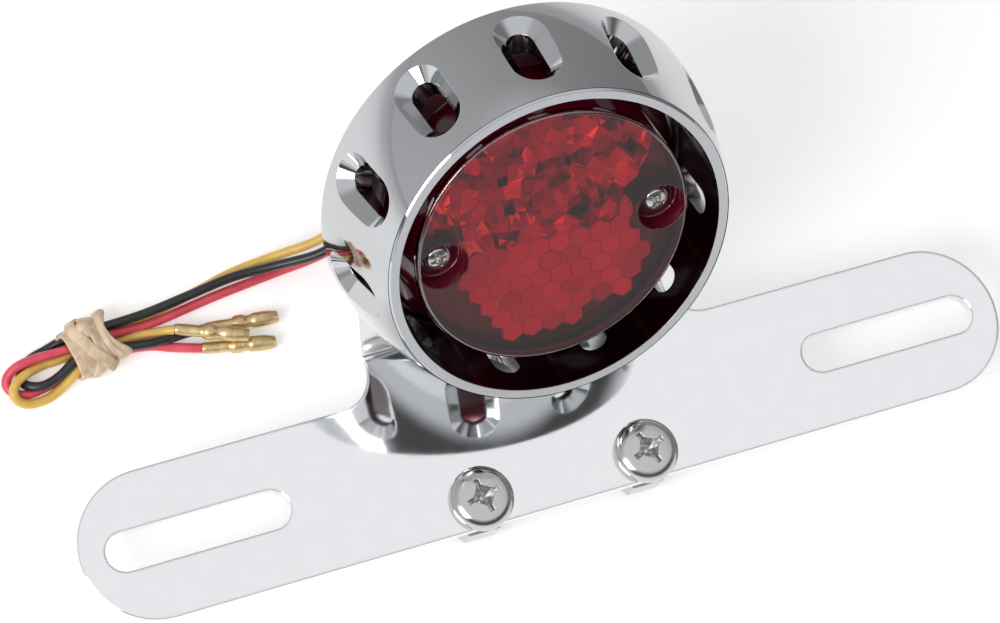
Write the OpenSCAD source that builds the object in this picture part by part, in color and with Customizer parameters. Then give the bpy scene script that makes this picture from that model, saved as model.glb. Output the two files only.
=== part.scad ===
// Round drilled tail light on a licence-plate bracket.
// Origin: midway between the two plate slots, on the bracket's front face.
// +Z leaves the bracket's front face, +X runs along the bracket, +Y points to the lamp.
// The lamp stands on a tab that is bent up from the bracket's long edge.

/* [Bracket] */
// Distance between the centres of the two plate slots
slot_spacing = 146; // [130:1:150]
// End-to-end length of a slot
slot_len = 37.3; // [20:0.1:38]
// Width of a slot
slot_w = 7.9; // [6:0.1:9]
// Overall length of the bracket
bar_len = 193.6; // [192:0.1:200]
// Width of the bracket's bar
bar_w = 29.8; // [28:0.1:34]
// Thickness of the bracket plate
plate_t = 2.5; // [2:0.1:3]
// Distance from the slots' line to the tab's bend
bend_y = 23.9; // [22:0.1:25]
// Width of the bent tab
tab_w = 63.2; // [60:0.1:64]
// Angle the tab is bent up from the bar
tab_angle = 51.3; // [45:0.1:55]
// Distance from the bend to the lamp's axis, along the tab
lamp_up = 36.2; // [36:0.1:40]

/* [Housing] */
// Height of the lamp above the tab
lamp_h = 28.7; // [28:0.1:30]
// Outer radius of the housing at its back edge
housing_r = 39.1; // [38:0.1:40]
// Outer radius of the housing at its front rim
rim_r = 34.4; // [34:0.1:35]
// Radius of the housing's inside
cavity_r = 32.4; // [32:0.1:32.6]
// Number of windows round the housing
window_count = 11; // [6:1:12]
// Width of a window's straight slot
window_w = 5.3; // [4:0.1:6]
// Width of a window's bevelled mouth
mouth_w = 11; // [9:0.1:12]
// Length of a window's straight slot
window_len = 13; // [11:0.1:14]

/* [Lens] */
// Outer radius of the lens
lens_r = 27.6; // [27:0.1:28]
// How far the lens lies below the housing's rim
lens_drop = 3.6; // [3:0.1:5]
// Distance from the lens's centre to a screw well
well_x = 22.2; // [21:0.1:22.3]
// Radius of a screw well
well_r = 4.9; // [4:0.1:4.9]

/* [Leads] */
// Diameter of each lead over its insulation
lead_d = 1.9; // [1.6:0.1:2]

/* [Hidden] */
$fn = 96;
eps = 0.01;

// Bracket
end_r = bar_w / 2;
bend_r = 1.5;
bend_flat = bend_r * tan(tab_angle / 2);
neck = 1;
seam = 0.5;
fillet_y = bend_y - bend_flat - neck;
fillet_r = fillet_y - end_r;
tab_top = lamp_up + 24;
tab_corner_r = 14;

// Fender screws through the bar
fender_screw_x = 17.4;
fender_mid_x = -0.6;
fender_screw_y = -9.4;
fender_hole_r = 3.4;
fender_shank_r = 3.05;
fender_head_r = 6.4;
fender_head_h = 3.6;
fender_shank_len = 12.7;
bench_z = -fender_shank_len;

// Stack of the lamp, as heights above the tab's front face
pad_h = 1.2;
base_h = 3.9;
lip_h = 5.4;
flange_h = 7.2;
lens_top = lamp_h - lens_drop;
lens_wall = 1.8;
face_t = 2.6;
skirt_in_r = lens_r - lens_wall;
flange_r = 31.6;
lip_r = 29.2;
spigot_r = 28.8;
spigot_in_r = 25.5;
well_depth = 4.4;
well_floor_t = 1.6;
post_r = 3.9;
boss_r = 3.4;
boss_top = 8.4;
thread_r = 1.5;
lens_screw_r = 1.5;
lens_head_r = 2.75;
lens_head_h = 2.1;
gasket_t = 0.8;
board_h = 9.4;
board_t = 1.6;
board_r = 22.6;
wire_hole_r = 5;
base_screw_x = 21.5;
base_screw_turn = 60;
base_screw_r = 2;

// Housing wall
crown_depth = lamp_h - base_h;
rim_bevel = 0.35;
back_bevel = 0.8;
window_h = lamp_h - 12.6;
window_lean = 9;

// Leads: their routes, by hand, on the bench or falling to it
lead_r = lead_d / 2;
lead_gap = 2.3;
grommet_out = 1.5;

yellow_route = [[-2.3, 49.7, 25.7], [-2.7, 52.6, 23.4], [-6, 55.8, 18.6], [-11.5, 56.6, 12], [-18, 55, 5.5],
    [-24.8, 52.6, -0.5], [-31, 50.6, -5.2], [-40.3, 50.8, -9.8], [-48.5, 50.3, -11.6], [-57, 48.4, -11.7],
    [-66.8, 46.6, -11.7], [-75, 46, -10.9], [-80.2, 44.7, -10.9], [-85.7, 42.5, -10.9],
    [-90, 42.1, -11], [-93.7, 41.1, -10], [-96.2, 39.8, -9.7], [-97.4, 38, -9.8], [-96.8, 36.3, -10.6],
    [-94.6, 35.4, -11.5], [-91.3, 35.5, -11.7], [-88.2, 36.6, -11.3], [-85, 38.3, -10.1], [-81.3, 40.2, -9.4],
    [-77, 42.4, -10.7], [-70.5, 42.7, -11], [-66, 42.3, -10.6], [-62.9, 41.6, -9.4]];
black_route = [[0, 49.7, 25.7], [-0.3, 52.6, 23.4], [-3.4, 54.8, 18.4], [-9.2, 54.6, 12.2],
    [-16.5, 52.2, 7.2],
    [-24.4, 49.4, 1.8], [-31.9, 47.3, -2.6], [-40.6, 48.4, -7.6], [-49.2, 48.9, -9.6], [-58.5, 47.7, -9.8],
    [-67.4, 46.5, -9.7], [-75, 45.9, -8.9], [-84, 45.8, -10], [-88.5, 45, -11.4],
    [-92.2, 44, -11.7], [-94.5, 42.2, -11.7], [-94.9, 40.2, -11.7], [-93.8, 38.5, -10.3],
    [-91.2, 37.8, -9.6], [-87.7, 38.8, -9.4], [-84.5, 40.5, -8.5], [-80.4, 41.7, -7.5],
    [-75.3, 41, -8.8], [-70, 40.4, -9.6], [-65.4, 40.4, -10.4], [-60.8, 40.9, -11.7],
    [-56.6, 40.7, -11.4]];
red_route = [[2.3, 49.7, 25.7], [1.9, 52.4, 23.2], [-1.2, 53.4, 17.2], [-7.6, 52.2, 10.6], [-15.4, 50.2, 4],
    [-24, 48.8, -3.2], [-32, 48.2, -8.8], [-40.6, 47.9, -11.5], [-53, 46.6, -11.7],
    [-66.5, 44.7, -11.7], [-73, 44.2, -10.3], [-77.4, 43.9, -9], [-82, 43.5, -9], [-87, 43.3, -9.1],
    [-91.5, 43.3, -9.2], [-95.1, 42.9, -9.8], [-97.3, 41.8, -10.9], [-98, 40.1, -11.6], [-97, 38.4, -11.7],
    [-94.8, 37.4, -11.7], [-90, 38, -11.7], [-84.7, 39.5, -11.7], [-79.4, 39.7, -10.9],
    [-74.5, 40.7, -10.9], [-68.5, 40.3, -11.7], [-64.3, 38.8, -11.7], [-58.4, 36.9, -11.3]];

// Bullet connectors: where the wire enters each, and where its tip points
yellow_bullet_at = [[-62.9, 41.6, -9.4], [-50, 36.6, -8.6]];
black_bullet_at = [[-56.6, 40.7, -11.4], [-42.6, 39.2, -11]];
red_bullet_at = [[-58.4, 36.9, -11.3], [-44.2, 34.3, -11.1]];

bullet_len = 14.2;
barrel_r = 1.15;
bead_r = 1.6;
neck_r = 1.3;
tip_r = 1.55;

// Rubber band round the six strands
band_at = [-80.1, 42.9, -12.7];
band_turn = 16;
band_len = 10;
band_w = 11.4;
band_t = 7.2;
band_wall = 0.9;
band_corner_r = 2;

// Sweep of a round cord through its route's points, with a ring of sides at each
cord_sides = 8;
function unit(v) = v / norm(v);
function heading(p, i) = unit(p[min(i + 1, len(p) - 1)] - p[max(i - 1, 0)]);
function side_of(t, s) = unit(s - t * (s * t));
function sides(p, i, s) = i >= len(p) ? []
    : let (now = side_of(heading(p, i), s)) concat([now], sides(p, i + 1, now));

module cord(route, r) {
    p = route;
    s = sides(p, 0, [1, 0, 0.01]);
    rings = [for (i = [0 : len(p) - 1], k = [0 : cord_sides - 1])
        let (t = heading(p, i), a = 360 * k / cord_sides)
        p[i] + r * (cos(a) * s[i] + sin(a) * cross(t, s[i]))];
    last = (len(p) - 1) * cord_sides;
    faces = concat(
        [[for (k = [0 : cord_sides - 1]) k]],
        [[for (k = [cord_sides - 1 : -1 : 0]) last + k]],
        [for (i = [0 : len(p) - 2], k = [0 : cord_sides - 1])
            let (a = i * cord_sides, b = (k + 1) % cord_sides)
            [a + k, a + cord_sides + k, a + cord_sides + b, a + b]]);
    polyhedron(rings, faces);
}

// Places its children on the tab: local origin on the lamp's axis at the tab's front face
module on_tab(h = 0) {
    translate([0, bend_y, 0]) rotate([tab_angle, 0, 0]) translate([0, lamp_up, h]) children();
}

// Two copies of the children, at +x and -x
module pair(x, turn = 0) {
    for (side = [0, 180]) rotate([0, 0, turn + side]) translate([x, 0, 0]) children();
}

module disc(r, h, z = 0) {
    translate([0, 0, z]) cylinder(r = r, h = h);
}

module slot_plan(length, width) {
    for (side = [-1, 1]) translate([side * (length - width) / 2, 0]) circle(r = width / 2);
    square([length - width, width], center = true);
}

// ---- Bracket ----

module bar_plan() {
    difference() {
        union() {
            slot_plan(bar_len, bar_w);
            translate([-tab_w / 2 - fillet_r, 0]) square([tab_w + 2 * fillet_r, fillet_y]);
            translate([-tab_w / 2, 0]) square([tab_w, bend_y - bend_flat]);
        }
        for (side = [-1, 1]) {
            translate([side * (tab_w / 2 + fillet_r), fillet_y]) circle(r = fillet_r);
            translate([side * slot_spacing / 2, 0]) slot_plan(slot_len, slot_w);
            translate([fender_mid_x + side * fender_screw_x, fender_screw_y]) circle(r = fender_hole_r);
        }
    }
}

module tab_plan() {
    difference() {
        union() {
            translate([-tab_w / 2, bend_flat]) square([tab_w, tab_top - tab_corner_r - bend_flat]);
            translate([-tab_w / 2 + tab_corner_r, bend_flat])
                square([tab_w - 2 * tab_corner_r, tab_top - bend_flat]);
            for (side = [-1, 1])
                translate([side * (tab_w / 2 - tab_corner_r), tab_top - tab_corner_r])
                    circle(r = tab_corner_r);
        }
        translate([0, lamp_up]) circle(r = wire_hole_r + 1);
        translate([0, lamp_up]) pair(base_screw_x, base_screw_turn) circle(r = base_screw_r + 0.3);
    }
}

// Side view of the bend: a sector of a ring, with a short straight at each end inside the bar and the tab
module bend_plan() {
    steps = 12;
    outer = bend_r + plate_t;
    arc = [for (k = [0 : steps]) k * tab_angle / steps];
    turn = [cos(tab_angle), sin(tab_angle)];
    polygon(concat(
        [[-seam, -bend_r], [-seam, -outer]],
        [for (a = arc) outer * [sin(a), -cos(a)]],
        [outer * [turn[1], -turn[0]] + seam * turn, bend_r * [turn[1], -turn[0]] + seam * turn],
        [for (k = [steps : -1 : 0]) bend_r * [sin(arc[k]), -cos(arc[k])]]));
}

module bracket() {
    color([0.86, 0.87, 0.89]) union() {
        translate([0, 0, -plate_t]) linear_extrude(plate_t) bar_plan();
        translate([0, bend_y, 0]) rotate([tab_angle, 0, 0]) translate([0, 0, -plate_t])
            linear_extrude(plate_t) tab_plan();
        translate([-tab_w / 2, bend_y - bend_flat, bend_r]) rotate([90, 0, 90]) linear_extrude(tab_w)
            bend_plan();
    }
}

module machine_screw(head_r, head_h, shank_r, shank_len, cross_r) {
    difference() {
        union() {
            intersection() {
                disc(head_r, head_h);
                translate([0, 0, head_h - 1.6 * head_r]) sphere(r = 1.6 * head_r);
            }
            disc(shank_r, shank_len + eps, -shank_len);
        }
        for (turn = [45, 135]) rotate([0, 0, turn])
            translate([-cross_r, -cross_r / 5, 0.4 * head_h]) cube([2 * cross_r, cross_r / 2.5, head_h]);
    }
}

module ring(r_out, r_in, h, z = 0) {
    difference() {
        disc(r_out, h, z);
        disc(r_in, h + 2, z - 1);
    }
}

module hex_nut(across_flats, bore_r, h) {
    difference() {
        cylinder(r = across_flats / 2 / cos(30), h = h, $fn = 6);
        disc(bore_r, h + 2, -1);
    }
}

module at_fender_screws(z) {
    for (side = [-1, 1])
        translate([fender_mid_x + side * fender_screw_x, fender_screw_y, z]) children();
}

module bracket_screws() {
    color([0.75, 0.75, 0.77]) at_fender_screws(0)
        machine_screw(fender_head_r, fender_head_h, fender_shank_r, fender_shank_len, 3.4);
}

module bracket_washers() {
    color([0.7, 0.7, 0.72]) at_fender_screws(-plate_t - 1.2) ring(5.4, fender_shank_r + 0.2, 1.2);
}

module bracket_lock_washers() {
    color([0.6, 0.6, 0.62]) at_fender_screws(-plate_t - 2.8) difference() {
        ring(5.3, fender_shank_r + 0.15, 1.6);
        translate([0, -0.6, -1]) cube([7, 1.2, 4]);
    }
}

module bracket_nuts() {
    color([0.66, 0.66, 0.68]) at_fender_screws(-plate_t - 2.8 - 5.5)
        hex_nut(11.1, fender_shank_r + 0.02, 5.5);
}

// ---- Lamp ----

module mount_pad() {
    color([0.12, 0.12, 0.12]) on_tab() difference() {
        disc(spigot_r, pad_h);
        disc(wire_hole_r, pad_h + 2, -1);
        pair(base_screw_x, base_screw_turn) disc(base_screw_r + 0.3, pad_h + 2, -1);
    }
}

module wire_grommet() {
    color([0.1, 0.1, 0.1]) on_tab() difference() {
        union() {
            disc(wire_hole_r + 0.95, plate_t - eps, -plate_t);
            disc(wire_hole_r + 2.6, grommet_out, -plate_t - grommet_out);
        }
        lead_holes(-plate_t - grommet_out - 1, plate_t + grommet_out + 2, 0.02);
    }
}

// Three holes side by side for the leads
module lead_holes(z, h, play) {
    for (side = [-1, 0, 1]) translate([side * lead_gap, 0, 0]) disc(lead_r + play, h, z);
}

module lamp_base() {
    color([0.08, 0.08, 0.08]) on_tab() difference() {
        union() {
            disc(housing_r - 4, base_h - pad_h, pad_h);
            ring(spigot_r, spigot_in_r, lip_h - base_h + eps, base_h - eps);
            pair(well_x) disc(boss_r, boss_top - base_h + eps, base_h - eps);
            pair(15, 90) disc(2.4, board_h - base_h + eps, base_h - eps);
        }
        disc(wire_hole_r - 0.6, base_h + 2, -1);
        pair(well_x) disc(thread_r + 0.02, boss_top, pad_h + 1);
        pair(15, 90) disc(1.02, board_h, pad_h + 1);
        pair(base_screw_x, base_screw_turn) disc(base_screw_r + 0.02, base_h + 2, -1);
    }
}

// Outline of the housing's side: the radius swells as a parabola from the rim to crown_depth below it
function crown_r(depth) =
    let (left = 1 - min(depth / crown_depth, 1)) rim_r + (housing_r - rim_r) * (1 - left * left);

module housing_section() {
    side_h = crown_depth - back_bevel - rim_bevel;
    crown = [for (k = [0 : 11])
        let (depth = rim_bevel + side_h * (1 - k / 12)) [crown_r(depth), lamp_h - depth]];
    polygon(concat(
        [[lip_r, base_h], [housing_r - back_bevel, base_h]],
        crown,
        [[rim_r, lamp_h - rim_bevel], [rim_r - rim_bevel, lamp_h], [cavity_r, lamp_h], [cavity_r, lip_h],
            [lip_r, lip_h]]));
}

// One window: a slot with round ends through the wall, opening into a bevelled mouth
module window_cut() {
    half = (window_len - window_w) / 2;
    bevel = (mouth_w - window_w) / 2;
    cone_h = 2 * bevel;
    through = 12;
    for (end = [-half, half]) translate([cavity_r - 3, 0, window_h + end])
        rotate([0, 90, 0]) cylinder(r = window_w / 2, h = through);
    translate([cavity_r - 3, -window_w / 2, window_h - half]) cube([through, window_w, 2 * half]);
    translate([crown_r(lamp_h - window_h) - bevel, 0, window_h]) rotate([0, -window_lean, 0]) {
        for (end = [-half, half]) translate([0, 0, end]) rotate([0, 90, 0])
            cylinder(r1 = window_w / 2, r2 = window_w / 2 + cone_h, h = cone_h);
        translate([0, 0, -half]) linear_extrude(2 * half)
            polygon([[0, -window_w / 2], [cone_h, -window_w / 2 - cone_h],
                [cone_h, window_w / 2 + cone_h], [0, window_w / 2]]);
    }
}

module housing() {
    color([0.72, 0.73, 0.75]) on_tab() difference() {
        rotate_extrude($fn = 180) housing_section();
        for (k = [0 : window_count - 1]) rotate([0, 0, 90 + k * 360 / window_count]) window_cut();
    }
}

module lens_gasket() {
    color([0.1, 0.1, 0.1]) on_tab() ring(flange_r, spigot_in_r, gasket_t, lip_h);
}

module lens() {
    floor_h = lens_top - well_depth;
    color([0.7, 0.05, 0.08, 0.8]) on_tab() difference() {
        union() {
            difference() {
                union() {
                    disc(lens_r, lens_top - lip_h - gasket_t, lip_h + gasket_t);
                    disc(flange_r, flange_h - lip_h, lip_h + gasket_t);
                }
                disc(skirt_in_r, lens_top - face_t + 1, -1);
            }
            intersection() {
                pair(well_x) {
                    disc(well_r + 0.9, lens_top - floor_h + well_floor_t, floor_h - well_floor_t);
                    disc(post_r, floor_h - boss_top, boss_top);
                }
                disc(lens_r - lens_wall / 2, lamp_h);
            }
        }
        pair(well_x) {
            disc(well_r, lamp_h, floor_h);
            disc(lens_screw_r + 0.3, lamp_h, 0);
        }
    }
}

module lens_screws() {
    floor_h = lens_top - well_depth;
    color([0.78, 0.78, 0.8]) on_tab(floor_h) pair(well_x)
        machine_screw(lens_head_r, lens_head_h, lens_screw_r, floor_h - pad_h - 1.2, 1.5);
}

module circuit_board() {
    color([0.05, 0.3, 0.12]) on_tab() difference() {
        disc(board_r, board_t, board_h);
        pair(well_x) disc(post_r + 0.5, board_t + 2, board_h - 1);
        pair(15, 90) disc(1.2, board_t + 2, board_h - 1);
        lead_holes(board_h - 1, board_t + 2, 0.15);
    }
}

module board_screws() {
    color([0.75, 0.75, 0.75]) on_tab(board_h + board_t) pair(15, 90)
        machine_screw(1.9, 1.1, 1, 5.5, 1);
}

// Three rings of LEDs, with room left for the posts, screws and leads
led_rings = [[6, 6.6, 30], [8, 12.4, 22.5], [8, 18.6, 22.5]];

module leds() {
    color([0.9, 0.2, 0.2]) on_tab(board_h + board_t)
        for (r = led_rings, k = [0 : r[0] - 1]) rotate([0, 0, r[2] + k * 360 / r[0]])
            translate([r[1], 0, 0]) {
                disc(1.7, 1);
                disc(1.5, 3.4, 1 - eps);
                translate([0, 0, 4.4 - 2 * eps]) sphere(r = 1.5, $fn = 32);
            }
}

module resistors() {
    color([0.75, 0.6, 0.4]) on_tab(board_h - 1.25)
        for (turn = [35, 145, 215, 325]) rotate([0, 0, turn]) translate([11, -3, 0])
            rotate([-90, 0, 0]) cylinder(r = 1.2, h = 6, $fn = 32);
}

module diode() {
    color([0.1, 0.1, 0.1]) on_tab(board_h - 1.45) translate([-3, -10.5, 0])
        rotate([0, 90, 0]) cylinder(r = 1.4, h = 6, $fn = 32);
}

module solder_joints() {
    color([0.8, 0.8, 0.82]) on_tab(board_h + board_t) for (side = [-1, 0, 1])
        translate([side * lead_gap, 0, 0]) cylinder(r1 = 1.1, r2 = 0.4, h = 0.9, $fn = 24);
}

module lead_tails() {
    color([0.3, 0.3, 0.3]) on_tab(-plate_t - grommet_out)
        for (side = [-1, 0, 1]) translate([side * lead_gap, 0, 0])
            cylinder(r = lead_r, h = board_h + board_t + plate_t + grommet_out, $fn = 32);
}

module base_screws() {
    color([0.75, 0.75, 0.77]) on_tab(base_h) pair(base_screw_x, base_screw_turn)
        machine_screw(3.6, 1.4, base_screw_r, 12, 1.8);
}

module base_washers() {
    color([0.7, 0.7, 0.72]) on_tab(-plate_t - 0.8) pair(base_screw_x, base_screw_turn)
        ring(4.6, base_screw_r + 0.1, 0.8);
}

module base_nuts() {
    color([0.66, 0.66, 0.68]) on_tab(-plate_t - 0.8 - 3.2) pair(base_screw_x, base_screw_turn)
        hex_nut(7, base_screw_r + 0.02, 3.2);
}

// ---- Leads ----

module yellow_lead() {
    color([0.9, 0.72, 0.33]) cord(yellow_route, lead_r);
}

module black_lead() {
    color([0.1, 0.1, 0.1]) cord(black_route, lead_r);
}

module red_lead() {
    color([0.88, 0.33, 0.37]) cord(red_route, lead_r);
}

// Male bullet: a crimped barrel on the wire, a bead, a neck and a tapered tip
module bullet(ends) {
    v = ends[1] - ends[0];
    translate(ends[0]) rotate([0, acos(v[2] / norm(v)), atan2(v[1], v[0])]) rotate_extrude($fn = 32)
        polygon([[0, 0], [barrel_r, 0], [barrel_r, 5], [bead_r, 5.8], [bead_r, 7.4], [neck_r, 7.8],
            [neck_r, 8.8], [tip_r, 9.4], [tip_r, 11.6], [barrel_r, bullet_len], [0, bullet_len]]);
}

module yellow_bullet() {
    color([0.78, 0.65, 0.38]) bullet(yellow_bullet_at);
}

module black_bullet() {
    color([0.78, 0.65, 0.38]) bullet(black_bullet_at);
}

module red_bullet() {
    color([0.78, 0.65, 0.38]) bullet(red_bullet_at);
}

module rounded_plan(w, h, r) {
    for (x = [-1, 1], y = [-1, 1]) translate([x * (w / 2 - r), y * (h / 2 - r)]) circle(r = r);
    square([w - 2 * r, h], center = true);
    square([w, h - 2 * r], center = true);
}

module rubber_band() {
    color([0.83, 0.72, 0.6]) translate([band_at[0], band_at[1], band_at[2] + band_t / 2])
        rotate([0, 0, band_turn]) rotate([90, 0, 90]) translate([0, 0, -band_len / 2])
            linear_extrude(band_len) difference() {
                rounded_plan(band_w, band_t, band_corner_r);
                rounded_plan(band_w - 2 * band_wall, band_t - 2 * band_wall, band_corner_r - band_wall);
            }
}

bracket();
mount_pad();
wire_grommet();
lamp_base();
housing();
lens_gasket();
lens();
lens_screws();
circuit_board();
board_screws();
leds();
resistors();
diode();
solder_joints();
lead_tails();
base_screws();
base_washers();
base_nuts();
bracket_screws();
bracket_washers();
bracket_lock_washers();
bracket_nuts();
yellow_lead();
black_lead();
red_lead();
yellow_bullet();
black_bullet();
red_bullet();
rubber_band();
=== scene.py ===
"""Looks of a round drilled tail light on a slotted plate bracket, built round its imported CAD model.

Sizes are in millimetres until a surface is placed, and metres after that. The lamp's own frame has its
origin on the lamp's axis at the tab's front face: x along the bracket, v up the tab, h out of the tab.
"""

import math

import bmesh
import bpy
import numpy as np
from mathutils import Matrix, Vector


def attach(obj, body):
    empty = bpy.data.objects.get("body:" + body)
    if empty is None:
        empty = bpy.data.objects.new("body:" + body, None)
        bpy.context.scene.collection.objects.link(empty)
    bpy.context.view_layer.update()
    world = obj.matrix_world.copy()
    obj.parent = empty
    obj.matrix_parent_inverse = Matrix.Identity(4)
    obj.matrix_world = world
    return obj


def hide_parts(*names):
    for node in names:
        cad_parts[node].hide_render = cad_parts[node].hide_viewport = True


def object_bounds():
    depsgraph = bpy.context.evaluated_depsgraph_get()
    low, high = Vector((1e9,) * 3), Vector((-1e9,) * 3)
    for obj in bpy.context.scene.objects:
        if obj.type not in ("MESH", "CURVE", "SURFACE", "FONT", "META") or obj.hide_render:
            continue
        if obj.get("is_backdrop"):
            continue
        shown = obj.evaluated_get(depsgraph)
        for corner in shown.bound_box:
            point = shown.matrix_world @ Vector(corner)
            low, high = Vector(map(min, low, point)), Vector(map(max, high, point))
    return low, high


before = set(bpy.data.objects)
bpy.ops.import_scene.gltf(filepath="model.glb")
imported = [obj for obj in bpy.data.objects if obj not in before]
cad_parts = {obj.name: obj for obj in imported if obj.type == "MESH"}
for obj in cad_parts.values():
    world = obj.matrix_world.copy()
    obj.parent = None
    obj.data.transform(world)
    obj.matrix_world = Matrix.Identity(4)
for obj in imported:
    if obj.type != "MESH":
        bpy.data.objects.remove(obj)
cad_box = [list(corner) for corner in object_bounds()]

MM = 0.001
TAU = 2 * math.pi

# ---- Sizes shared with the CAD part ----

BEND_Y = 23.9
TAB_ANGLE = math.radians(51.3)
LAMP_UP = 36.2
BENCH_Z = -12.7

LAMP_H = 28.7
BASE_H = 3.9
LIP_H = 5.4
LIP_R = 29.2
HOUSING_R = 39.1
RIM_R = 34.4
CAVITY_R = 32.4
RIM_BEVEL = 0.35
BACK_BEVEL = 0.8

WINDOWS = 11
WINDOW_H = 16.1
WINDOW_LEAN = math.radians(9)
SLOT_R = 2.65
SLOT_HALF = 3.85
MOUTH_BEVEL = 2.85

LENS_TOP = 25.1
LENS_R = 27.6
LENS_WALL = 1.8
FACE_T = 2.6
FLANGE_R = 31.6
FLANGE_LOW = 6.2
FLANGE_TOP = 8.0
WELL_X = 22.2
WELL_R = 4.9
WELL_FLOOR = 20.7
DEPTH_SHADE_H = LENS_TOP - FACE_T - 1.4

FENDER_SCREWS = [(-18.0, -9.4), (16.8, -9.4)]
LEAD_D = 1.9

LAMP_ORIGIN = np.array([0, BEND_Y + LAMP_UP * math.cos(TAB_ANGLE), LAMP_UP * math.sin(TAB_ANGLE)])
LAMP_AXES = np.array([
    [1, 0, 0],
    [0, math.cos(TAB_ANGLE), math.sin(TAB_ANGLE)],
    [0, -math.sin(TAB_ANGLE), math.cos(TAB_ANGLE)],
])


def on_lamp(points):
    """Lamp coordinates (x, v, h) in mm, placed in the row frame: origin + x X + v V + h N."""
    return LAMP_ORIGIN + np.asarray(points, float) @ LAMP_AXES


# ---- Surfaces ----

CREASE = 30


def mesh_object(name, points, faces, material, smooth=True, corners=4):
    """A piece from points in row millimetres and an array of faces with the same number of corners."""
    points = np.asarray(points, np.float32).reshape(-1, 3) * MM
    faces = np.asarray(faces, np.int32).reshape(-1, corners)
    mesh = bpy.data.meshes.new(name)
    mesh.vertices.add(len(points))
    mesh.vertices.foreach_set("co", points.ravel())
    mesh.loops.add(faces.size)
    mesh.loops.foreach_set("vertex_index", faces.ravel())
    mesh.polygons.add(len(faces))
    mesh.polygons.foreach_set("loop_start", np.arange(len(faces), dtype=np.int32) * corners)
    mesh.polygons.foreach_set("use_smooth", np.full(len(faces), smooth))
    mesh.update(calc_edges=True)
    mesh.validate()
    piece = bpy.data.objects.new(name, mesh)
    bpy.context.scene.collection.objects.link(piece)
    mesh.materials.append(material)
    return piece


def closed_shell(name, parts, material, **painted):
    """Several grids sewn into one surface: points that coincide become one, faces are turned outwards,
    and edges of more than CREASE degrees stay sharp. Painted values are kept at each point."""
    piece = mesh_object(name, *joined(parts), material)
    for label, values in painted.items():
        paint = piece.data.attributes.new(label, "FLOAT", "POINT")
        paint.data.foreach_set("value", values.astype(np.float32))
    body = bmesh.new()
    body.from_mesh(piece.data)
    bmesh.ops.remove_doubles(body, verts=body.verts, dist=2e-6)
    bmesh.ops.dissolve_degenerate(body, edges=body.edges, dist=1e-7)
    bmesh.ops.recalc_face_normals(body, faces=body.faces)
    body.to_mesh(piece.data)
    body.free()
    piece.data.set_sharp_from_angle(angle=math.radians(CREASE))
    return piece


def joined(parts):
    """Several (points, faces) grids as one."""
    points, faces, start = [], [], 0
    for p, f in parts:
        p = np.asarray(p).reshape(-1, 3)
        points.append(p)
        faces.append(f + start)
        start += len(p)
    return np.concatenate(points), np.concatenate(faces)


def grid_faces(rows, columns):
    """Quads between neighbouring points of a rows x columns grid whose last column meets its first."""
    i, j = np.meshgrid(np.arange(rows - 1), np.arange(columns), indexing="ij")
    k = (j + 1) % columns
    quads = [i * columns + j, i * columns + k, (i + 1) * columns + k, (i + 1) * columns + j]
    return np.stack(quads, -1).reshape(-1, 4)


def revolve(profile, steps=128):
    """Surface of revolution: each profile point (r, h) goes round as (r cos a, r sin a, h)."""
    profile = np.asarray(profile, float)
    angle = np.arange(steps) * TAU / steps
    r, h = profile[:, :1], profile[:, 1:]
    points = np.stack([r * np.cos(angle), r * np.sin(angle), h + 0 * angle], -1)
    return points, grid_faces(len(profile), steps)


def arc(centre, radius, start, end, steps=8):
    """Points centre + radius (cos a, sin a) as a runs from start to end degrees."""
    angle = np.radians(np.linspace(start, end, steps))
    return np.stack([centre[0] + radius * np.cos(angle), centre[1] + radius * np.sin(angle)], -1)


def turn_about_z(angle):
    """Rows to multiply points by, so that x and y turn by that angle."""
    c, s = math.cos(angle), math.sin(angle)
    return np.array([[c, s, 0], [-s, c, 0], [0, 0, 1]])


def smooth_route(points, per_span=10):
    """Catmull-Rom curve through the route: on each span from b to c, the cubic whose slopes at the ends
    are half of c - a and half of d - b, with a and d the points on either side."""
    p = np.asarray(points, float)
    p = np.vstack([2 * p[0] - p[1], p, 2 * p[-1] - p[-2]])
    t = (np.arange(per_span) / per_span)[None, :, None]
    a, b, c, d = (p[k:len(p) - 3 + k, None] for k in range(4))
    square = (2 * a - 5 * b + 4 * c - d) * t ** 2
    cube = (3 * b - a - 3 * c + d) * t ** 3
    curve = 0.5 * (2 * b + (c - a) * t + square + cube)
    return np.vstack([curve.reshape(-1, 3), p[-2]])


def frames_along(path, first):
    """Two normals at each point. The first is the last point's, less its part along the new tangent, and
    the other is square to it and to the path."""
    tangent = np.gradient(path, axis=0)
    tangent /= np.linalg.norm(tangent, axis=1)[:, None]
    normal = np.zeros_like(tangent)
    last = np.asarray(first, float)
    for k, t in enumerate(tangent):
        last = last - t * (last @ t)
        last /= np.linalg.norm(last)
        normal[k] = last
    return normal, np.cross(normal, tangent)


def tube(path, width, thickness, sides, first=(0, 0, 1), power=1.0):
    """Path swept by the section (w/2 cos a, t/2 sin a); a power under 1 squares the section's corners."""
    n, b = frames_along(path, first)
    angle = np.arange(sides) * TAU / sides
    cos, sin = np.cos(angle), np.sin(angle)
    across = np.sign(cos) * np.abs(cos) ** power * width / 2
    up = np.sign(sin) * np.abs(sin) ** power * thickness / 2
    points = path[:, None] + b[:, None] * across[None, :, None] + n[:, None] * up[None, :, None]
    return points, grid_faces(len(path), sides)


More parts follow.
